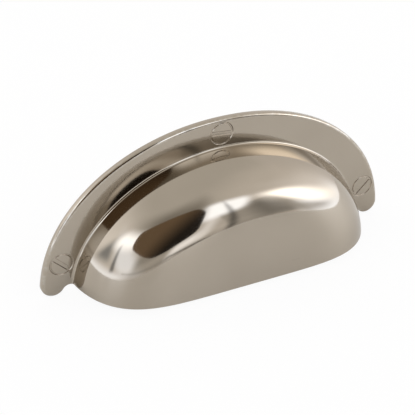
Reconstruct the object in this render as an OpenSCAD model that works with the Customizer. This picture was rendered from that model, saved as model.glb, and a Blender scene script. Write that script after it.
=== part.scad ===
// Cup pull: a one-piece cast drawer handle, a hollow dome on a flat arched flange.
// Millimetres. +Z is up, the front faces -Y and the back lies in the plane y = 0.
// The origin is midway between the two fixings, on the back.

/* [Flange] */
// Width of the arch that the flange's edge follows
flange_w = 96; // [92:1:130]
// Height of the flange's top above the rim
flange_rise = 36.8; // [33:0.1:50]
// Fullness of the flange's arch: 2 is an ellipse, and more has squarer shoulders
arch_fullness = 2.08; // [2:0.02:2.3]
// Thickness of the flange
flange_t = 1.8; // [1.6:0.1:4]
// Width of the flange between its edge and the dome
band_w = 7.7; // [7:0.1:9]
// Radius of the flange's rounded front edge
edge_r = 0.8; // [0.2:0.1:1]

/* [Ears] */
// How far the ears hang below the rim
ear_drop = 2.3; // [1:0.1:4]
// Radius of an ear's round end
ear_r = 3; // [2.4:0.1:3.6]

/* [Dome] */
// How far the dome stands out from the back
dome_depth = 20.5; // [16:0.1:30]
// Thickness of the dome's wall
wall_t = 2; // [1.4:0.1:3]
// Fullness of the dome's section: 2 is an ellipse, and more is squarer
fullness = 5.25; // [3:0.05:8]
// How far the section's centre lies behind the back, which leans the wall in
section_set_back = 1.4; // [0.4:0.1:4]
// How far the centre of the arch lies below the rim
arch_sink = 2.8; // [1:0.1:6]
// Radius of the fillet between dome and flange
base_fillet_r = 0.7; // [0.3:0.1:1.2]

/* [Imitation screw heads] */
// Diameter of a head
head_d = 5.4; // [4:0.1:5.8]
// Width of the groove round a head
groove_w = 0.35; // [0.2:0.05:0.5]
// Depth of the groove round a head
groove_depth = 0.3; // [0.2:0.05:0.6]
// Width of a head's slot
slot_w = 1; // [0.6:0.1:1.4]
// Depth of a head's slot
slot_depth = 0.35; // [0.2:0.05:0.6]
// Height of the two lower heads above the rim
head_rise = 6.7; // [5:0.1:12]
// Turn of the lower heads' slots, rising outwards
side_slot_turn = 45; // [-90:1:90]
// Turn of the top head's slot
top_slot_turn = -6; // [-90:1:90]

/* [Fixings] */
// Distance between the two fixings
fixing_pitch = 64; // [50:1:66]
// Height of the fixings above the rim
fixing_rise = 7.5; // [6:0.1:12]
// Diameter of the posts that take the fixing screws
post_d = 8; // [6:0.5:10]
// Diameter of the tapping hole
tap_d = 3.3; // [2.5:0.1:4.2]
// Depth of the tapping hole
tap_depth = 9.5; // [6:0.5:11]

/* [Hidden] */
$fn = 96;

// Room by which a cutting solid passes the face that it cuts
over = 1;
// Space left on the rim between the fillet's foot and the cove
cove_gap = 0.1;
// Segments along the arch, an ear's end, a cove, a rounded edge, the fillet and the dome's section
arch_steps = 72;
ear_steps = 10;
cove_steps = 5;
edge_steps = 3;
fillet_steps = 3;
section_steps = 16;

// Heights above the fixings
rim_z = -fixing_rise;
arch_z = rim_z - arch_sink;
ear_z = rim_z - ear_drop + ear_r;

// Half-axes of the arch that the flange's edge follows and of the ellipses that the dome's skins follow
flange_a = flange_w / 2;
flange_c = flange_rise + arch_sink;
dome_a = flange_a - band_w;
dome_c = flange_c - band_w;

// Half-width of a skin's section at a height over the back, for a skin of half-width a and depth d
function skin_x(h, a, d) = a * pow(1 - pow((h + section_set_back) / (d + section_set_back), 2), 1 / fullness);
// A skin's section from a height over the back, where it is widest, to the half-width at which it ends
function skin(h, a, d, x_end) =
    let (first = acos((h + section_set_back) / (d + section_set_back)),
        last = asin(pow(x_end / a, fullness / 2)))
    [for (i = [0:section_steps]) let (t = first + (last - first) * i / section_steps)
        [a * pow(sin(t), 2 / fullness), (d + section_set_back) * cos(t) - section_set_back]];

// The dome's section, from the fillet's foot on the flange to the front, where the arch meets the rim
fillet_h = flange_t + base_fillet_r;
fillet_x = skin_x(fillet_h, dome_a, dome_depth) + base_fillet_r;
dome_section = concat(
    [for (i = [fillet_steps:-1:1]) let (t = 90 * i / fillet_steps)
        [fillet_x - base_fillet_r * cos(t), fillet_h - base_fillet_r * sin(t)]],
    skin(fillet_h, dome_a, dome_depth, dome_a * arch_sink / dome_c));
dome_n = len(dome_section) - 1;

// Angle at which an ellipse of the dome, of half-width x, meets the rim
function rim_angle(x) = asin(arch_sink / dome_c * dome_a / x);

// A point on the flange's arch in x and z over the arch's centre, and the direction of the normal there
function arch_at(t) = [flange_a * pow(cos(t), 2 / arch_fullness), flange_c * pow(sin(t), 2 / arch_fullness)];
function arch_normal(t) = atan2(flange_a * pow(sin(t), 2 - 2 / arch_fullness),
    flange_c * pow(cos(t), 2 - 2 / arch_fullness));

// Where an ear's round end leaves the arch, found by halving: angle on the arch, normal and the end's centre
function ear_over(t) = arch_at(t)[1] - ear_r * sin(arch_normal(t)) - (ear_z - arch_z);
function ear_search(low, high, steps) = let (t = (low + high) / 2)
    steps == 0 ? t : ear_over(t) > 0 ? ear_search(low, t, steps - 1) : ear_search(t, high, steps - 1);
ear_angle = ear_search(0, 45, 40);
ear_normal = arch_normal(ear_angle);
ear_x = arch_at(ear_angle)[0] - ear_r * cos(ear_normal);
// The cove that leads from the ear's end to the rim beside the dome, touching both
cove_x = fillet_x * cos(rim_angle(fillet_x)) + cove_gap;
cove_r = (pow(ear_x - cove_x, 2) + pow(ear_r - ear_drop, 2) - pow(ear_r, 2)) / (2 * ear_drop);
cove_z = rim_z - cove_r;
cove_angle = atan2(ear_z - cove_z, ear_x - cove_x);

// Right half of the flange's edge, from the rim up to the top: place in x and z, then outward normal
cove_edge = [for (i = [0:cove_steps - 1])
    let (t = 90 + (cove_angle - 90) * i / cove_steps, inset = i == 0 ? 0 : 1)
    [cove_x + cove_r * cos(t), cove_z + cove_r * sin(t), -inset * cos(t), -inset * sin(t)]];
ear_edge = [for (i = [0:ear_steps - 1])
    let (t = cove_angle - 180 + (ear_normal - cove_angle + 180) * i / ear_steps)
    [ear_x + ear_r * cos(t), ear_z + ear_r * sin(t), cos(t), sin(t)]];
arch_edge = [for (i = [0:arch_steps / 2])
    let (t = ear_angle + (90 - ear_angle) * i / (arch_steps / 2), p = arch_at(t), n = arch_normal(t))
    [p[0], arch_z + p[1], cos(n), sin(n)]];
half_edge = concat(cove_edge, ear_edge, arch_edge);
half_n = len(half_edge);
edge = concat(half_edge, [for (i = [half_n - 2:-1:0])
    let (p = half_edge[i]) [-p[0], p[1], -p[2], p[3]]]);
edge_n = len(edge);

// The flange's edge from back to front: height over the back, and how far in from the outline
edge_section = concat([[0, 0]], [for (i = [0:edge_steps])
    let (t = 90 * i / edge_steps) [flange_t - edge_r + edge_r * sin(t), edge_r * (1 - cos(t))]]);
front = len(edge_section) - 1;

// Rings of the outer skin: the flange's edge, then the dome's arched rings, then the point where they end
edge_points = [for (s = edge_section, p = edge) [p[0] - s[1] * p[2], -s[0], p[1] - s[1] * p[3]]];
dome_points = [for (j = [0:dome_n - 1], i = [0:arch_steps])
    let (s = dome_section[j], r = rim_angle(s[0]), t = r + (180 - 2 * r) * i / arch_steps)
    [s[0] * cos(t), -s[1], arch_z + s[0] * dome_c / dome_a * sin(t)]];
end_point = [0, -dome_section[dome_n][1], rim_z];
function on_edge(j, i) = j * edge_n + i % edge_n;
function on_dome(j, i) = len(edge_points) + j * (arch_steps + 1) + i % (arch_steps + 1);
end_i = len(edge_points) + len(dome_points);

// Faces between rings, with those along the rim, which close each ring from left to right
edge_faces = [for (j = [0:front - 1], i = [0:edge_n - (j < front - 1 ? 1 : 2)], half = [0, 1]) half == 0
    ? [on_edge(j, i), on_edge(j, i + 1), on_edge(j + 1, i + 1)]
    : [on_edge(j, i), on_edge(j + 1, i + 1), on_edge(j + 1, i)]];
dome_faces = [for (j = [0:dome_n - 2], i = [0:arch_steps], half = [0, 1]) half == 0
    ? [on_dome(j, i), on_dome(j, i + 1), on_dome(j + 1, i + 1)]
    : [on_dome(j, i), on_dome(j + 1, i + 1), on_dome(j + 1, i)]];
end_faces = [for (i = [0:arch_steps]) [on_dome(dome_n - 1, i), on_dome(dome_n - 1, i + 1), end_i]];

// Faces of a flat side of the flange: across each ear, and between left and right of the arch
ear_turn = cove_steps + ear_steps / 2;
ear_top = 2 * ear_turn;
function ear_faces(j) = [for (middle = [ear_turn, edge_n - 1 - ear_turn], i = [1:ear_turn])
    [for (k = i == 1 ? [0, i, -i] : [1 - i, i - 1, i, -i]) on_edge(j, middle + k)]];
back_faces = concat(ear_faces(0), [for (i = [ear_top:half_n - 2])
    [for (k = i == half_n - 2 ? [i, i + 1, edge_n - 1 - i] : [i, i + 1, edge_n - 2 - i, edge_n - 1 - i])
        on_edge(0, k)]],
    [[for (k = [0, ear_top, edge_n - 1 - ear_top, edge_n - 1]) on_edge(0, k)]]);
function turned(face) = [for (i = [len(face) - 1:-1:0]) face[i]];

// Faces of the flange's front, from its edge to the fillet's foot, and the piece of the rim below them
side_n = cove_steps + ear_steps;
foot_n = ear_top - side_n;
front_faces = concat(ear_faces(front),
    [for (i = [ear_top:edge_n - 2 - ear_top], half = [0, 1]) half == 0
        ? [on_edge(front, i), on_edge(front, i + 1), on_dome(0, i + 1 - side_n)]
        : [on_edge(front, i), on_dome(0, i + 1 - side_n), on_dome(0, i - side_n)]],
    [for (i = [0:foot_n - 1]) [on_edge(front, ear_top), on_dome(0, i + 1), on_dome(0, i)]],
    [for (i = [0:foot_n - 1])
        [on_edge(front, edge_n - 1 - ear_top), on_dome(0, arch_steps - i), on_dome(0, arch_steps - i - 1)]],
    [[on_edge(front, 0), on_edge(front, ear_top), on_dome(0, 0)],
    [on_edge(front, edge_n - 1 - ear_top), on_edge(front, edge_n - 1), on_dome(0, arch_steps)],
    [on_edge(front - 1, 0), on_edge(front, 0), on_dome(0, 0), on_dome(0, arch_steps),
        on_edge(front, edge_n - 1), on_edge(front - 1, edge_n - 1)]]);

// The hollow inside the dome, turned about the arch's centre
hollow_a = dome_a - wall_t;
hollow_c = dome_c - wall_t;
hollow_depth = dome_depth - wall_t;
hollow_section = concat([[0, -over], [skin_x(0, hollow_a, hollow_depth), -over]],
    skin(0, hollow_a, hollow_depth, 0));

// Places of the imitation heads, midway across the flange, each with the turn of its slot
head_a = flange_a - band_w / 2;
head_c = flange_c - band_w / 2;
head_x = head_a * sqrt(1 - pow((head_rise + arch_sink) / head_c, 2));
HEADS = [[-head_x, rim_z + head_rise, -side_slot_turn], [0, arch_z + head_c, top_slot_turn],
    [head_x, rim_z + head_rise, side_slot_turn]];

// Turns what is drawn upwards so that it faces the front
module to_front() rotate([90, 0, 0]) children();

module outer_skin() polyhedron(concat(edge_points, dome_points, [end_point]),
    concat(back_faces, [for (f = concat(edge_faces, front_faces, dome_faces, end_faces)) turned(f)]));

module at_fixings() for (x = [-1, 1] * fixing_pitch / 2) translate([x, 0, 0]) to_front() children();

module hollow() difference() {
    translate([0, 0, arch_z]) to_front() scale([1, hollow_c / hollow_a, 1])
        rotate_extrude() polygon(hollow_section);
    at_fixings() translate([0, 0, -2 * over]) cylinder(d = post_d, h = dome_depth + 2 * over);
}

module head_cuts() for (h = HEADS) translate([h[0], -flange_t, h[1]]) rotate([0, -h[2], 0]) to_front() {
    rotate_extrude() translate([head_d / 2, -groove_depth]) square([groove_w, groove_depth + over]);
    translate([-head_d / 2 - groove_w / 2, -slot_w / 2, -slot_depth])
        cube([head_d + groove_w, slot_w, slot_depth + over]);
}

module pull() color("tan") difference() {
    outer_skin();
    hollow();
    at_fixings() translate([0, 0, -over]) cylinder(d = tap_d, h = tap_depth + over);
    head_cuts();
}

pull();
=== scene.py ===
import math

import bmesh
import bpy
from mathutils import Matrix, Vector


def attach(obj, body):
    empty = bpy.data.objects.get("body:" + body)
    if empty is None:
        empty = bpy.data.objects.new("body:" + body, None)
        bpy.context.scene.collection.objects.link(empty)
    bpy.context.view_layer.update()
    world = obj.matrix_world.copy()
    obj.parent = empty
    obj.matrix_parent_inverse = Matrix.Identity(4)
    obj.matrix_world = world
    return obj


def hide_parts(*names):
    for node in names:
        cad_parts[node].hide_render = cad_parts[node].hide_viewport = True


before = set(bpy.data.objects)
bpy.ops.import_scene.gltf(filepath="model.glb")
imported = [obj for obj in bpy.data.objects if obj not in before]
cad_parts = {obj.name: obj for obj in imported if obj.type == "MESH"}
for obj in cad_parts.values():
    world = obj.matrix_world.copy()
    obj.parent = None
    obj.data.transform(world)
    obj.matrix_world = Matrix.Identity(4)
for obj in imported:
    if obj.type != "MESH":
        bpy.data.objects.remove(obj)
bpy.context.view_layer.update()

# Sizes are in millimetres, in the part's frame: the front faces -Y and the back lies at y = 0
MM = 0.001

# Flange, whose front edge gets its full rounding at EDGE_RUN from the rim
FLANGE_A, FLANGE_C = 48.0, 39.6
ARCH_FULLNESS = 2.08
FLANGE_T = 1.8
EDGE_R = 0.8
EDGE_RUN = 9.0
BACK_BREAK = 0.15
BREAK_BOW = 0.3

# Dome, which follows an arch about ARCH_Z and is cut off at the rim. Its skins are spun from SPIN_START
# degrees and leave SPIN_HOLE open at the arch's centre, below the cut
DOME_A, DOME_C = 40.3, 31.9
DOME_DEPTH = 20.5
FULLNESS = 5.25
SET_BACK = 1.4
FILLET_R = 0.7
WALL = 2.0
RIM_Z = -7.5
ARCH_Z = -10.3
LIP_R = 0.35
SPIN_START = -14.0
SPIN_HOLE = 1.5
HIDDEN_MARGIN = 0.05

# Ears
EAR_R = 3.0
EAR_DROP = 2.3
EAR_Z = RIM_Z - EAR_DROP + EAR_R
COVE_GAP = 0.1

# Imitation screw heads: place in x and z, turn of the slot
HEAD_R = 2.7
GROOVE_W = 0.35
GROOVE_DEPTH = 0.18
STEP_W = 0.17
SLOT_W = 1.0
HEAD_CORNER = 0.15
HEADS = [(-42.56, -0.8, -45.0), (0.0, 25.45, -6.0), (42.56, -0.8, 45.0)]

# Fixing posts, tapped M4. DRILL_POINT is half the angle of the drill's point in degrees
POST_X = 32.0
POST_R = 4.0
POST_SINK = 0.02
POST_FLARE = 0.8
POST_BREAK = 0.25
POST_BREAK_BOW = 0.07
POST_LEAST = 0.3
TAP_R = 1.65
TAP_DEPTH = 9.5
DRILL_POINT = 59.0
THREAD_R = 2.0
THREAD_PITCH = 0.7
THREAD_LEAD = 0.5
THREAD_END = 0.8
THREAD_FADE = 0.5
MOUTH_GAP = 0.15
BORE_GAP = 0.12
BORE_STEP = 0.1

# One turn of the thread: share of the pitch and share of the depth
FLANK = [(0.0, 0.0), (0.12, 0.0), (0.5, 1.0), (0.62, 1.0), (1.0, 0.0)]

# Steps of the meshes
DOME_ROWS, DOME_COLUMNS = 84, 208
HOLLOW_ROWS, HOLLOW_COLUMNS = 60, 120
COVE_STEPS, EAR_STEPS, ARCH_STEPS = 14, 40, 180
RING_STEPS, HEAD_STEPS, CORNER_STEPS = 96, 48, 6
POST_STEPS = 64
ROUND_STEPS = 8
HALVINGS = 40

# Width of the flat strip beside a rounding, which keeps the faces next to it flat in reflections
GUARD = 0.06

# Distances under which points are one, and the angle from which an edge is sharp
WELD = 0.0005
CUT_SNAP = 0.0001
SHARP_ANGLE = math.radians(35)

# Nickel: colours, sizes of its patterns per metre, depths of its relief in metres
NICKEL_DARK = (0.393, 0.345, 0.282, 1)
NICKEL_LIGHT = (0.411, 0.362, 0.297, 1)
NICKEL_WORN = (0.47, 0.43, 0.37, 1)
TONE_SCALE = 55.0
WORN_SCALE = 700.0
MARK_SCALE = (900.0, 2600.0, 14000.0)
SMEAR_SCALE = 140.0
WAVE_SCALE = 110.0
GRAIN_SCALE = 5200.0
PIT_SCALE = 230.0
PIT_SIZE = 0.05
GRAIN = 2e-7
PIT_DEPTH = 2e-5

# Finishes: least and greatest roughness, depth of the waves in metres
POLISHED = (0.055, 0.1, 6e-6)
AS_CAST = (0.2, 0.34, 3e-5)

# Floor: tones, and the share of plain white in what the camera sees and in what the metal mirrors
FLOOR_R = 6000.0
FLOOR_STEPS = 96
FLOOR_GAP = 0.02
FLOOR_DARK = (0.83, 0.825, 0.81, 1)
FLOOR_LIGHT = (0.87, 0.865, 0.85, 1)
FLOOR_SCALE = 18.0
FLOOR_ROUGH = 0.4
FLOOR_SEEN = 0.93
FLOOR_MIRRORED = 0.1
WHITE = (1, 1, 1, 1)

# Studio panels, each laid over those before it: corners in azimuth and height in degrees, softness of the
# edges in degrees, light, share
PANELS = {
    "room": ([(-400, 200), (400, 200), (400, -200), (-400, -200)], 1, (0.95, 0.92, 0.9), 1),
    "ceiling": ([(-400, 200), (400, 200), (400, 46), (-400, 46)], 10.8, (0.87, 0.85, 0.82), 1),
    "right_glow": ([(13, 71), (68, 78), (117, 59), (114, 14), (108, -11), (25, -13), (12, 14)],
                   45, (1.21, 1.17, 1.14), 0.58),
    "left_glow": ([(-160, 38), (-87, 45), (-84, 11), (-153, -17)], 45, (1.52, 1.51, 1.52), 1),
    "left_strip": ([(-124, 4), (-70, 6), (-57, 2), (-124, -10)], 9.4, (2.01, 2.15, 2.43), 1),
    "left_grey": ([(-107, 24), (-101, 32), (-92, 12), (-113, 7)], 11.3, (0.47, 0.49, 0.52), 1),
    "left_wall": ([(-102, 36), (-63, 29), (-37, 2), (-75, 6)], 14.4, (1.82, 1.97, 2.24), 0.9),
    "left_window": ([(-96, 40), (-54, 48), (-60, 31), (-99, 26)], 12.3, (3.13, 3.34, 3.74), 0.84),
    "left_bar": ([(-89.2, 28.9), (-88.2, 29.9), (-79.3, 6.5), (-85.4, 5)],
                 4.8, (0.13, 0.14, 0.16), 0.84),
    "front_low": ([(-50, 24), (-5, 19), (12, -1), (-53, 4)], 14.8, (0.45, 0.44, 0.42), 0.74),
    "front_slit": ([(-13, 14), (5, 16), (4, 5), (-14, 3)], 9.8, (1.83, 1.91, 2.08), 1),
    "front_left": ([(3.9, 35), (12.9, 38.9), (6.2, 3.3), (0.6, 4.5)], 8.4, (1.58, 1.62, 1.71), 0.98),
    "front_right": ([(9, 35), (44, 35), (51, 5), (18, -2)], 1.3, (0.7, 0.68, 0.66), 0.97),
    "front_window": ([(1, 56), (10, 57), (37, 46), (33, 38), (23, 27), (0, 31)],
                     12, (2.56, 2.78, 3.19), 1),
    "front_grey": ([(25, 26), (34, 35), (44, 16), (45, 5), (27, -1)], 11.3, (0.39, 0.38, 0.37), 1),
    "right_sill": ([(52, 19), (101, 12), (111, -16), (44, -9)], 16.8, (2.26, 2.45, 2.82), 1),
    "right_window": ([(39, 40), (55, 41), (66, 37), (87, 21), (100, 8), (104, 1), (72, 9), (52, 15),
                      (43, 32)], 15.4, (3.95, 4, 4.16), 1),
    "front_bar": ([(16.9, 50.4), (18.2, 54.8), (18.7, 1.3), (15.5, -2.9)], 4.4, (0.1, 0.1, 0.1), 1),
    "right_fade": ([(65, 44), (105, 27), (110, -5), (84, 0)], 27.3, (1.69, 1.7, 1.77), 0.68),
    "right_grey": ([(39, 14), (70, 9), (79, 6), (46, -1)], 9.8, (0.69, 0.67, 0.65), 0.73),
    "top_glow": ([(41, 42), (50, 41), (45, 26), (41, 18)], 20.1, (1.78, 1.84, 1.98), 0.66),
    "flag_tail": ([(-39, 11.3), (4.3, 10.2), (6, 9.7), (-51.2, 10.2)], 13.8, (4.12, 4, 3.88), 0.23),
    "flag_shade": ([(-88, 51), (-50, 72), (8, 71), (-14, 34)], 27.3, (0.15, 0.13, 0.1), 0.65),
    "edge_left": ([(-66.4, 6.9), (-11.6, 3.8), (-11.7, 1.2), (-65.2, 5.4)],
                  1.1, (0.37, 0.36, 0.35), 0.35),
    "edge_front": ([(-13, 5.3), (7.6, 1.7), (14.9, -2.9), (-15.3, 4.2)], 1.2, (0.18, 0.17, 0.16), 0.72),
}

# Camera: its place in metres, its axes, its lens and sensor in millimetres and its range in metres
CAMERA_EYE = Vector((-0.12969, -0.24568, 0.18579))
CAMERA_RIGHT = Vector((0.89450, -0.44651, 0.02253))
CAMERA_UP = Vector((0.22894, 0.50075, 0.83476))
CAMERA_BACK = Vector((-0.38401, -0.74153, 0.55014))
LENS = 114.1
SENSOR = 36.0
CLIP = (0.01, 100.0)

# Dark card behind the camera: corners to the right and up, distance behind, thickness, round of the
# corners, colours at its two sides, and the direction and range in metres of the fade between them
CARD = [(-231, 135), (-3, 161), (67, 165), (116, 112), (150, -76), (119, -105),
        (40, -128), (-40, -122), (-123, -73), (-251, 21), (-255, 73)]
CARD_GAP = 11.0
CARD_T = 1.5
CARD_ROUND = 25.0
CARD_ROUND_STEPS = 6
CARD_LIGHT = (0.25, 0.175, 0.11, 1)
CARD_DARK = (0.03, 0.025, 0.021, 1)
CARD_ACROSS = (CAMERA_RIGHT * 0.86 - CAMERA_UP * 0.51).normalized()
CARD_FADE = (-0.12, 0.09)


def smooth_step(t):
    """A soft rise from 0 to 1."""
    t = min(1.0, max(0.0, t))
    return t * t * (3 - 2 * t)


def skin_x(h, a, depth):
    """Half-width of a skin at a height over the back."""
    return a * (1 - ((h + SET_BACK) / (depth + SET_BACK)) ** 2) ** (1 / FULLNESS)


def skin(h, a, depth, x_end, steps):
    """A skin's section from a height over the back to the half-width at which it ends."""
    first = math.acos((h + SET_BACK) / (depth + SET_BACK))
    last = math.asin((x_end / a) ** (FULLNESS / 2))
    turns = [first + (last - first) * i / steps for i in range(steps + 1)]
    return [(a * math.sin(t) ** (2 / FULLNESS), (depth + SET_BACK) * math.cos(t) - SET_BACK)
            for t in turns]


def arc(x, z, r, start, end, steps, side=1):
    """Points of an arc with their normals, which point outwards for side 1."""
    turns = [start + (end - start) * i / steps for i in range(steps + 1)]
    return [(x + r * math.cos(t), z + r * math.sin(t), side * math.cos(t), side * math.sin(t))
            for t in turns]


def wrap_grid(bm, columns, rows, place, worn=None):
    """A grid of quads whose vertices go where place(column, row) says, worn as much as worn(row) says."""
    grid = bmesh.ops.create_grid(bm, x_segments=columns - 1, y_segments=rows - 1, size=1.0)["verts"]
    for v in grid:
        i = round((v.co.x + 1) / 2 * (columns - 1))
        j = round((v.co.y + 1) / 2 * (rows - 1))
        v.co = place(i, j)
        if worn:
            v[bm.verts.layers.float["wear"]] = max(0.0, worn(j))


def spun_skin(bm, section, ratio, steps, cut_z):
    """A section of half-widths and heights, spun about the arch's centre, made oval and cut off below.
    Gives the points of the cut edge, from left to right."""
    shell = bmesh.new()
    low = math.radians(SPIN_START)
    chain = [shell.verts.new((x * math.cos(low), -h, ARCH_Z + x * math.sin(low))) for x, h in section]
    edges = [shell.edges.new(pair) for pair in zip(chain, chain[1:])]
    bmesh.ops.spin(shell, geom=chain + edges, cent=(0, 0, ARCH_Z), axis=(0, -1, 0), dvec=(0, 0, 0),
                   angle=math.pi / 2 - low, steps=steps)
    to_centre = Matrix.Translation((0, 0, -ARCH_Z))
    bmesh.ops.scale(shell, verts=shell.verts, vec=(1, 1, ratio), space=to_centre)
    for z, clear in ((cut_z + GUARD, False), (cut_z, True)):
        geom = shell.verts[:] + shell.edges[:] + shell.faces[:]
        bmesh.ops.bisect_plane(shell, geom=geom, dist=CUT_SNAP, plane_co=(0, 0, z), plane_no=(0, 0, 1),
                               clear_inner=clear)
    geom = shell.verts[:] + shell.edges[:] + shell.faces[:]
    bmesh.ops.mirror(shell, geom=geom, axis="X", matrix=Matrix(), merge_dist=WELD)
    bmesh.ops.remove_doubles(shell, verts=shell.verts, dist=WELD)
    foot = [v.co.copy() for v in shell.verts if abs(v.co.z - cut_z) < WELD]
    made = bpy.data.meshes.new("skin")
    shell.to_mesh(made)
    shell.free()
    bm.from_mesh(made)
    bpy.data.meshes.remove(made)
    return sorted(foot, key=lambda p: math.atan2(p.x, -p.y))


def skin_normal(p, a, c, depth):
    """Level normal of a skin at a point, pointing away from the hollow."""
    ring = (p.x / a) ** 2 + ((p.z - ARCH_Z) / c) ** 2
    grow = FULLNESS * ring ** (FULLNESS / 2 - 1)
    level = Vector((grow * p.x / a ** 2, -2 * (SET_BACK - p.y) / (depth + SET_BACK) ** 2, 0))
    return level.normalized()


def arch_at(t):
    """A point on the flange's arch in x and z, and the direction of its normal."""
    c, n = max(0.0, math.cos(t)), math.sin(t)
    bend = 2 / ARCH_FULLNESS
    normal = math.atan2(FLANGE_A * n ** (2 - bend), FLANGE_C * c ** (2 - bend))
    return FLANGE_A * c ** bend, ARCH_Z + FLANGE_C * n ** bend, normal


def flange_outline():
    """The flange's edge from the rim on the right, round the ear and the arch, to the rim on the left."""
    low, high = 0.0, math.pi / 4
    for _ in range(HALVINGS):
        ear_turn = (low + high) / 2
        x, z, ear_normal = arch_at(ear_turn)
        if z - EAR_R * math.sin(ear_normal) > EAR_Z:
            high = ear_turn
        else:
            low = ear_turn
    ear_x = x - EAR_R * math.cos(ear_normal)
    cove_r = ((ear_x - COVE_X) ** 2 + (EAR_R - EAR_DROP) ** 2 - EAR_R ** 2) / (2 * EAR_DROP)
    cove_z = RIM_Z - cove_r
    cove_turn = math.atan2(EAR_Z - cove_z, ear_x - COVE_X)
    cove = arc(COVE_X, cove_z, cove_r, math.pi / 2, cove_turn, COVE_STEPS, -1)
    ear = arc(ear_x, EAR_Z, EAR_R, cove_turn - math.pi, ear_normal, EAR_STEPS)
    arch = []
    for i in range(ARCH_STEPS + 1):
        x, z, normal = arch_at(ear_turn + (math.pi / 2 - ear_turn) * i / ARCH_STEPS)
        arch.append((x, z, math.cos(normal), math.sin(normal)))
    half = cove[:-1] + ear[:-1] + arch
    return half + [(-x, z, -nx, nz) for x, z, nx, nz in reversed(half[:-1])]


def add_flange_edge(bm):
    """The flange's edge: a small break at the back, the wall and the rounded front edge."""
    path = flange_outline()
    along = [0.0]
    for p, q in zip(path, path[1:]):
        along.append(along[-1] + math.dist(p[:2], q[:2]))
    sections = []
    for d in along:
        grown = smooth_step(min(d, along[-1] - d) / EDGE_RUN)
        r = LIP_R + (EDGE_R - LIP_R) * grown
        b = BACK_BREAK * grown
        rows = [(0, b), (b * BREAK_BOW, b * BREAK_BOW), (b, 0), (FLANGE_T - r - GUARD, 0)]
        for k in range(ROUND_STEPS + 1):
            t = math.pi / 2 * k / ROUND_STEPS
            rows.append((FLANGE_T - r + r * math.sin(t), r * (1 - math.cos(t))))
        sections.append(rows + [(FLANGE_T, r + GUARD)])

    def place(i, j):
        x, z, nx, nz = path[i]
        h, inset = sections[i][j]
        return Vector((x - inset * nx, -h, z - inset * nz))

    wrap_grid(bm, len(path), len(sections[0]), place,
              lambda j: math.sin(math.pi * (j - 3) / (ROUND_STEPS + 2)))


def add_rim_lip(bm, chain, normals):
    """Rounds the edge between a skin and the flat of the rim, along the skin's cut edge."""
    def place(i, j):
        t = math.pi / 2 * min(j, ROUND_STEPS) / ROUND_STEPS
        inset = LIP_R * (1 - math.cos(t)) + (GUARD if j > ROUND_STEPS else 0)
        return chain[i] - normals[i] * inset - Vector((0, 0, LIP_R * math.sin(t)))

    wrap_grid(bm, len(chain), ROUND_STEPS + 2, place,
              lambda j: math.sin(math.pi * j / (ROUND_STEPS + 1)))


def closed_band(bm, path, section):
    """Rows of quads round a closed path on the flange; section gives depth below the front and inset."""
    ring = path + path[:1]

    def place(i, j):
        x, z, nx, nz = ring[i]
        depth, inset = section[j]
        return Vector((x - inset * nx, depth - FLANGE_T, z - inset * nz))

    wrap_grid(bm, len(ring), len(section), place)


def soft_step():
    """Section of the soft step from the flange's front down to a head's groove."""
    rows = [(0.0, -(STEP_W + GUARD) / 2)]
    for k in range(ROUND_STEPS + 1):
        share = k / ROUND_STEPS
        rows.append((GROOVE_DEPTH * (1 - math.cos(math.pi * share)) / 2, STEP_W * (share - 0.5)))
    return rows + [(GROOVE_DEPTH, (STEP_W + GUARD) / 2)]


def half_head():
    """Outline of the half of a head above its slot, with round corners, facing outwards."""
    corner, low = HEAD_CORNER, SLOT_W / 2
    corner_x = math.sqrt((HEAD_R - corner) ** 2 - (low + corner) ** 2)
    meet = math.atan2(low + corner, corner_x)
    down = 1.5 * math.pi
    outline = arc(0, 0, HEAD_R, meet, math.pi - meet, HEAD_STEPS)
    outline += arc(-corner_x, low + corner, corner, math.pi - meet, down, CORNER_STEPS)[1:]
    outline += arc(corner_x, low + corner, corner, down, 2 * math.pi + meet, CORNER_STEPS)[:-1]
    return outline


def turned(path, x, z, turn):
    """A path on the flange, turned and moved to a head's place."""
    c, s = math.cos(turn), math.sin(turn)
    return [(x + c * px - s * pz, z + s * px + c * pz, c * nx - s * nz, s * nx + c * nz)
            for px, pz, nx, nz in path]


def add_heads(bm):
    """Three imitation slotted heads, cast level with the flange inside shallow ring grooves."""
    step = soft_step()
    rise = [(depth, -inset) for depth, inset in step]
    for x, z, turn in HEADS:
        ring = arc(0, 0, HEAD_R + GROOVE_W, 0, 2 * math.pi, RING_STEPS)[:-1]
        closed_band(bm, turned(ring, x, z, 0), step)
        for half in (0, 180):
            closed_band(bm, turned(half_head(), x, z, math.radians(turn + half)), rise)


def fill_flat(bm, axis, level, normal):
    """Fills what is open in a plane, up to the edges of the faces that end there."""
    edges = [e for e in bm.edges if len(e.link_faces) < 2
             and all(abs(v.co[axis] - level) < WELD for v in e.verts)]
    bmesh.ops.triangle_fill(bm, edges=edges, use_beauty=True, normal=normal)


FILLET_H = FLANGE_T + FILLET_R
FILLET_X = skin_x(FILLET_H, DOME_A, DOME_DEPTH) + FILLET_R


def ring_x(x, z):
    """Where an oval of the dome, of half-width x, passes a height."""
    return x * math.sqrt(1 - ((z - ARCH_Z) / (x * DOME_C / DOME_A)) ** 2)


COVE_X = ring_x(FILLET_X, RIM_Z) + COVE_GAP


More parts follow.
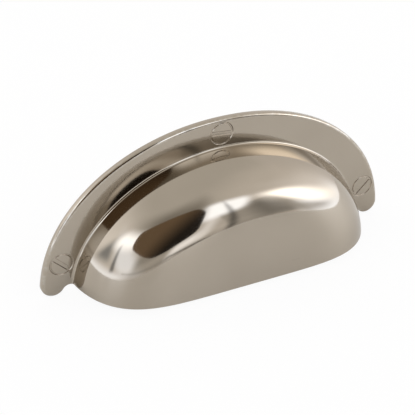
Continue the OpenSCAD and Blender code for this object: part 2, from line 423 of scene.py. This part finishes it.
def make_casting():
    """Dome, hollow, flange, ears and imitation heads as one closed skin."""
    bm = bmesh.new()
    bm.verts.layers.float.new("wear")
    cut = RIM_Z + LIP_R

    # Dome, with the fillet at its foot
    fillet = [(FILLET_X + GUARD, FLANGE_T)]
    for k in range(ROUND_STEPS):
        t = math.pi / 2 * (1 - k / ROUND_STEPS)
        fillet.append((FILLET_X - FILLET_R * math.cos(t), FILLET_H - FILLET_R * math.sin(t)))
    dome = fillet + skin(FILLET_H, DOME_A, DOME_DEPTH, DOME_A * SPIN_HOLE / DOME_C, DOME_ROWS)
    chain = spun_skin(bm, dome, DOME_C / DOME_A, DOME_COLUMNS, cut)
    normals = []
    for p in chain:
        h = -p.y
        lean = skin_normal(p, DOME_A, DOME_C, DOME_DEPTH)
        if h < FILLET_H:
            down = min(1.0, (FILLET_H - h) / FILLET_R)
            side = math.sqrt(1 - down ** 2)
            lean = Vector((math.copysign(side, p.x), -down, 0))
        normals.append(lean)
    front = Vector((0, -1, 0))
    ends = [Vector((s * COVE_X, -FLANGE_T, cut)) for s in (-1, 1)]
    add_rim_lip(bm, ends[:1] + chain + ends[1:], [front] + normals + [front])

    # Hollow
    a, c, depth = DOME_A - WALL, DOME_C - WALL, DOME_DEPTH - WALL
    inside = skin(0, a, depth, a * SPIN_HOLE / c, HOLLOW_ROWS)
    chain = spun_skin(bm, inside, c / a, HOLLOW_COLUMNS, cut)
    normals = [-skin_normal(p, a, c, depth) for p in chain]
    normals[0], normals[-1] = Vector((1, 0, 0)), Vector((-1, 0, 0))
    add_rim_lip(bm, chain, normals)
    add_flange_edge(bm)
    add_heads(bm)
    bmesh.ops.remove_doubles(bm, verts=bm.verts, dist=WELD)

    # Flats: the rim, the back, the flange's front and the floors and tops of the heads
    corners = [v for v in bm.verts if abs(v.co.y) < WELD and abs(v.co.z - RIM_Z) < WELD]
    corners.sort(key=lambda v: v.co.x)
    for pair in (corners[:2], corners[-2:]):
        if not bm.edges.get(pair):
            bm.edges.new(pair)
    fill_flat(bm, 2, RIM_Z, (0, 0, -1))
    fill_flat(bm, 1, 0.0, (0, 1, 0))
    fill_flat(bm, 1, -FLANGE_T, (0, -1, 0))
    fill_flat(bm, 1, GROOVE_DEPTH - FLANGE_T, (0, -1, 0))
    bmesh.ops.recalc_face_normals(bm, faces=bm.faces)

    # The back and the hollow are left as cast, the rest is polished
    for face in bm.faces:
        p = face.calc_center_median()
        hidden = -p.y < max(skin_depth(p.x, p.z, WALL) + HIDDEN_MARGIN, WELD)
        face.material_index = 1 if hidden else 0
    return finish_piece(bm, "casting")


def skin_depth(x, z, inset):
    """Height over the back of a skin that lies a little inside the dome's surface."""
    ring = (x / (DOME_A - inset)) ** 2 + ((z - ARCH_Z) / (DOME_C - inset)) ** 2
    rise = math.sqrt(max(0.0, 1 - ring ** (FULLNESS / 2)))
    return (DOME_DEPTH - inset + SET_BACK) * rise - SET_BACK


def make_post(side):
    """A post that runs out into the dome's wall, with a tapped hole that opens at the back."""
    bm = bmesh.new()
    mouth = THREAD_R + MOUTH_GAP
    back = [(mouth, 0.0), (POST_R - POST_BREAK, 0.0), (POST_R - POST_BREAK_BOW, POST_BREAK_BOW),
            (POST_R, POST_BREAK)]
    rows = [(r, None, POST_SINK + h) for r, h in back]
    for k in range(ROUND_STEPS + 1):
        t = math.pi / 2 * k / ROUND_STEPS
        rows.append((POST_R + POST_FLARE * (1 - math.cos(t)), WALL, POST_FLARE * (1 - math.sin(t))))
    rows += [((POST_R + POST_FLARE) * share, WALL / 2, 0.0) for share in (1.0, 0.75, 0.5, 0.25, 0.0)]

    def place(i, j):
        t = 2 * math.pi * i / POST_STEPS
        r, skin_inset, h = rows[j]
        x, z = r * math.cos(t), r * math.sin(t)
        if skin_inset:
            h = max(skin_depth(side * POST_X + x, z, skin_inset) - h, POST_LEAST)
        return Vector((x, -h, z))

    wrap_grid(bm, POST_STEPS + 1, len(rows), place)
    start, last = POST_SINK + THREAD_LEAD, TAP_DEPTH - THREAD_END
    bore = [(mouth, POST_SINK), (TAP_R + BORE_GAP, start)]
    point = [(TAP_R + BORE_GAP, last), (TAP_R, last + BORE_STEP), (TAP_R, TAP_DEPTH),
             (0.0, TAP_DEPTH + TAP_R / math.tan(math.radians(DRILL_POINT)))]
    for section in (bore, point):
        chain = [bm.verts.new((r, -h, 0)) for r, h in section]
        edges = [bm.edges.new(pair) for pair in zip(chain, chain[1:])]
        bmesh.ops.spin(bm, geom=chain + edges, cent=(0, 0, 0), axis=(0, 1, 0), dvec=(0, 0, 0),
                       angle=2 * math.pi, steps=POST_STEPS, use_merge=True)
    add_thread(bm, -start, -last)
    bmesh.ops.translate(bm, verts=bm.verts, vec=(side * POST_X, 0, 0))
    bmesh.ops.remove_doubles(bm, verts=bm.verts, dist=WELD)
    bmesh.ops.dissolve_degenerate(bm, edges=bm.edges, dist=WELD)
    bmesh.ops.recalc_face_normals(bm, faces=bm.faces)
    return finish_piece(bm, "post_left" if side < 0 else "post_right")


def add_thread(bm, top, bottom):
    """The tapped part of the bore: a thread's flanks between the two heights, ended on the plain bore."""
    turns = (top - bottom) / THREAD_PITCH
    count = math.ceil(turns * POST_STEPS)
    depth = THREAD_R - TAP_R

    def place(i, j):
        t = 2 * math.pi * i / POST_STEPS
        share, cut = FLANK[j]
        y = top - THREAD_PITCH * (i / POST_STEPS + share - 1)
        fade = smooth_step((top - y) / THREAD_FADE) * smooth_step((y - bottom) / THREAD_FADE)
        y = min(top, max(bottom, y))
        r = TAP_R + BORE_GAP + (depth * cut - BORE_GAP) * fade
        return Vector((r * math.cos(t), y, r * math.sin(t)))

    wrap_grid(bm, count + POST_STEPS + 1, len(FLANK), place)


def finish_piece(bm, name):
    """A mesh object from a bmesh in millimetres, smooth but for its sharp edges."""
    bmesh.ops.scale(bm, verts=bm.verts, vec=(MM, MM, MM))
    mesh = bpy.data.meshes.new(name)
    for face in bm.faces:
        face.smooth = True
    bm.to_mesh(mesh)
    bm.free()
    mesh.set_sharp_from_angle(angle=SHARP_ANGLE)
    piece = bpy.data.objects.new(name, mesh)
    bpy.context.scene.collection.objects.link(piece)
    return piece


def add_node(tree, kind, inputs=None, **settings):
    """A shader node; an input is given a value or linked to another node's output."""
    made = tree.nodes.new("ShaderNode" + kind)
    for name, value in settings.items():
        setattr(made, name, value)
    for name, value in (inputs or {}).items():
        if isinstance(value, bpy.types.NodeSocket):
            tree.links.new(value, made.inputs[name])
        else:
            made.inputs[name].default_value = value
    return made


def math_node(tree, operation, *values):
    """Result of one operation on values or sockets."""
    return add_node(tree, "Math", dict(enumerate(values)), operation=operation).outputs[0]


def mixed(tree, share, low, high):
    """Colour between two colours or colour sockets."""
    return add_node(tree, "Mix", {0: share, 6: low, 7: high}, data_type="RGBA").outputs[2]


def noise(tree, where, scale, detail, roughness=0.5):
    """A cloudy pattern between 0 and 1."""
    inputs = {"Vector": where, "Scale": scale, "Detail": detail, "Roughness": roughness}
    return add_node(tree, "TexNoise", inputs).outputs["Fac"]


def spread(tree, value, low, high, to_low=0.0, to_high=1.0, kind="SMOOTHSTEP"):
    """A value's range low to high, mapped to another range."""
    inputs = {0: value, 1: low, 2: high, 3: to_low, 4: to_high}
    return add_node(tree, "MapRange", inputs, interpolation_type=kind).outputs[0]


def new_material(name):
    """A material with no nodes yet."""
    made = bpy.data.materials.new(name)
    made.use_nodes = True
    made.node_tree.nodes.clear()
    return made


def nickel_material(name, smooth, rough, wave):
    """Nickel plate: drifts in tone, polishing marks, worn edges, soft waves of the casting, a few pits."""
    made = new_material(name)
    tree = made.node_tree
    where = add_node(tree, "TexCoord").outputs["Object"]

    # Tone, lighter where the polish has worn off the edges in patches
    drift = spread(tree, noise(tree, where, TONE_SCALE, 3.0), 0.3, 0.7)
    colour = mixed(tree, drift, NICKEL_DARK, NICKEL_LIGHT)
    edge = add_node(tree, "Attribute", attribute_name="wear").outputs["Fac"]
    patches = spread(tree, noise(tree, where, WORN_SCALE, 4.0), 0.4, 0.65)
    worn = math_node(tree, "MULTIPLY", edge, patches)
    colour = mixed(tree, worn, colour, NICKEL_WORN)

    # Polish, with fine marks along the width and faint smears
    marks_at = add_node(tree, "Mapping", {"Vector": where, "Scale": MARK_SCALE}).outputs[0]
    marks = math_node(tree, "MULTIPLY", noise(tree, marks_at, 1.0, 4.0, 0.6), 0.6)
    smears = math_node(tree, "MULTIPLY", noise(tree, where, SMEAR_SCALE, 4.0, 0.55), 0.4)
    worn_dull = math_node(tree, "MULTIPLY", worn, 0.3)
    dull = math_node(tree, "ADD", math_node(tree, "ADD", marks, smears), worn_dull)
    roughness = spread(tree, dull, 0.3, 0.75, smooth, rough)

    # Relief: soft waves, a fine grain and scattered pits
    cells = add_node(tree, "TexVoronoi", {"Vector": where, "Scale": PIT_SCALE}).outputs
    pit = math_node(tree, "MULTIPLY", spread(tree, cells["Color"], 0.93, 1.0), PIT_SIZE)
    pits = spread(tree, cells["Distance"], 0.0, pit)
    waves = noise(tree, where, WAVE_SCALE, 2.0)
    grain = noise(tree, where, GRAIN_SCALE, 2.0)
    normal = None
    for height, distance in ((waves, wave), (grain, GRAIN), (pits, PIT_DEPTH)):
        inputs = {"Strength": 1.0, "Distance": distance, "Height": height}
        if normal:
            inputs["Normal"] = normal
        normal = add_node(tree, "Bump", inputs).outputs[0]
    plate = {"Base Color": colour, "Metallic": 1.0, "Roughness": roughness, "Normal": normal}
    shader = add_node(tree, "BsdfPrincipled", plate)
    add_node(tree, "OutputMaterial", {"Surface": shader.outputs[0]})
    return made


def make_floor():
    """A level pale floor under the ears. It shows white and keeps a share of the shadow."""
    bm = bmesh.new()
    bmesh.ops.create_circle(bm, cap_ends=True, radius=FLOOR_R, segments=FLOOR_STEPS)
    bmesh.ops.translate(bm, verts=bm.verts, vec=(0, 0, RIM_Z - EAR_DROP - FLOOR_GAP))
    floor = finish_piece(bm, "floor")
    made = new_material("pale_floor")
    tree = made.node_tree
    where = add_node(tree, "TexCoord").outputs["Object"]
    tone = mixed(tree, noise(tree, where, FLOOR_SCALE, 3.0), FLOOR_DARK, FLOOR_LIGHT)
    lit = add_node(tree, "BsdfPrincipled", {"Base Color": tone, "Roughness": FLOOR_ROUGH})
    plain = add_node(tree, "Emission", {"Color": WHITE, "Strength": 1.0})
    ray = add_node(tree, "LightPath").outputs
    seen = math_node(tree, "MULTIPLY", ray["Is Camera Ray"], FLOOR_SEEN)
    mirrored = math_node(tree, "MAXIMUM", ray["Is Glossy Ray"], ray["Is Transmission Ray"])
    share = math_node(tree, "MAXIMUM", seen, math_node(tree, "MULTIPLY", mirrored, FLOOR_MIRRORED))
    surface = add_node(tree, "MixShader", {0: share, 1: lit.outputs[0], 2: plain.outputs[0]})
    add_node(tree, "OutputMaterial", {"Surface": surface.outputs[0]})
    floor.data.materials.append(made)


def make_studio():
    """Soft light from all round: a white backdrop and, out of the camera's sight, panels by direction.
    Azimuth 0 lies in front of the pull and 90 to its right."""
    world = bpy.data.worlds.new("studio")
    bpy.context.scene.world = world
    world.use_nodes = True
    tree = world.node_tree
    tree.nodes.clear()
    way = add_node(tree, "SeparateXYZ", {0: add_node(tree, "TexCoord").outputs["Generated"]}).outputs
    ahead = math_node(tree, "MULTIPLY", way["Y"], -1.0)
    to_degrees = math.degrees(1)
    azimuth = math_node(tree, "MULTIPLY", math_node(tree, "ARCTAN2", way["X"], ahead), to_degrees)
    height = math_node(tree, "MULTIPLY", math_node(tree, "ARCSINE", way["Z"]), to_degrees)
    place = add_node(tree, "CombineXYZ", {0: azimuth, 1: height, 2: 1.0}).outputs[0]
    ray = add_node(tree, "LightPath").outputs
    lit = math_node(tree, "SUBTRACT", 1.0, ray["Is Camera Ray"])
    colour = WHITE
    for name, (corners, soft, light, share) in PANELS.items():
        mask = math_node(tree, "MULTIPLY", lit, share)
        for p, q in zip(corners, corners[1:] + corners[:1]):
            along = (Vector(q) - Vector(p)).normalized()
            inward = Vector((along.y, -along.x, -(along.y * p[0] - along.x * p[1])))
            depth = add_node(tree, "VectorMath", {0: place, 1: inward}, operation="DOT_PRODUCT")
            edge = spread(tree, depth.outputs["Value"], -soft / 2, soft / 2)
            mask = math_node(tree, "MULTIPLY", edge, mask)
        colour = mixed(tree, mask, colour, (*light, 1))
        colour.node.label = name
    studio = add_node(tree, "Background", {"Color": colour, "Strength": 1.0})
    add_node(tree, "OutputWorld", {"Surface": studio.outputs[0]})


def camera_frame():
    """The camera's place and turn."""
    turn = Matrix((CAMERA_RIGHT, CAMERA_UP, CAMERA_BACK)).transposed().to_4x4()
    return Matrix.Translation(CAMERA_EYE) @ turn


def make_card():
    """A dark card behind the camera, which only the metal mirrors."""
    bm = bmesh.new()
    bm.faces.new([bm.verts.new((x, y, CARD_GAP)) for x, y in CARD])
    bmesh.ops.bevel(bm, geom=bm.verts[:], offset=CARD_ROUND, affect="VERTICES",
                    segments=CARD_ROUND_STEPS, profile=0.5, material=-1)
    side = bmesh.ops.extrude_face_region(bm, geom=bm.faces[:])["geom"]
    far = [v for v in side if isinstance(v, bmesh.types.BMVert)]
    bmesh.ops.translate(bm, verts=far, vec=(0, 0, CARD_T))
    bmesh.ops.recalc_face_normals(bm, faces=bm.faces)
    to_millimetres = Matrix.Scale(1 / MM, 4)
    place = to_millimetres @ camera_frame() @ to_millimetres.inverted()
    bmesh.ops.transform(bm, verts=bm.verts, matrix=place)
    card = finish_piece(bm, "dark_card")
    made = new_material("dark_card")
    tree = made.node_tree
    where = add_node(tree, "TexCoord").outputs["Object"]
    along = add_node(tree, "VectorMath", {0: where, 1: CARD_ACROSS}, operation="DOT_PRODUCT")
    middle = CAMERA_EYE.dot(CARD_ACROSS)
    fade = spread(tree, along.outputs["Value"], middle + CARD_FADE[0], middle + CARD_FADE[1])
    tone = mixed(tree, fade, CARD_LIGHT, CARD_DARK)
    plain = add_node(tree, "Emission", {"Color": tone, "Strength": 1.0})
    add_node(tree, "OutputMaterial", {"Surface": plain.outputs[0]})
    card.data.materials.append(made)
    card.visible_camera = card.visible_diffuse = card.visible_shadow = False


def make_camera():
    """The camera at the viewing angle of the front, from the upper left."""
    data = bpy.data.cameras.new("camera")
    data.sensor_width = SENSOR
    data.lens = LENS
    data.clip_start, data.clip_end = CLIP
    camera = bpy.data.objects.new("camera", data)
    camera.matrix_world = camera_frame()
    bpy.context.scene.collection.objects.link(camera)
    bpy.context.scene.camera = camera


make_camera()
make_floor()
make_card()
make_studio()
casting = make_casting()
posts = [make_post(-1), make_post(1)]
polished = nickel_material("polished_nickel", *POLISHED)
cast = nickel_material("cast_nickel", *AS_CAST)
casting.data.materials.append(polished)
casting.data.materials.append(cast)
for post in posts:
    post.data.materials.append(cast)
for piece in [casting] + posts:
    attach(piece, "root")
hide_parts("pull")

bpy.context.scene.view_settings.view_transform = "Standard"
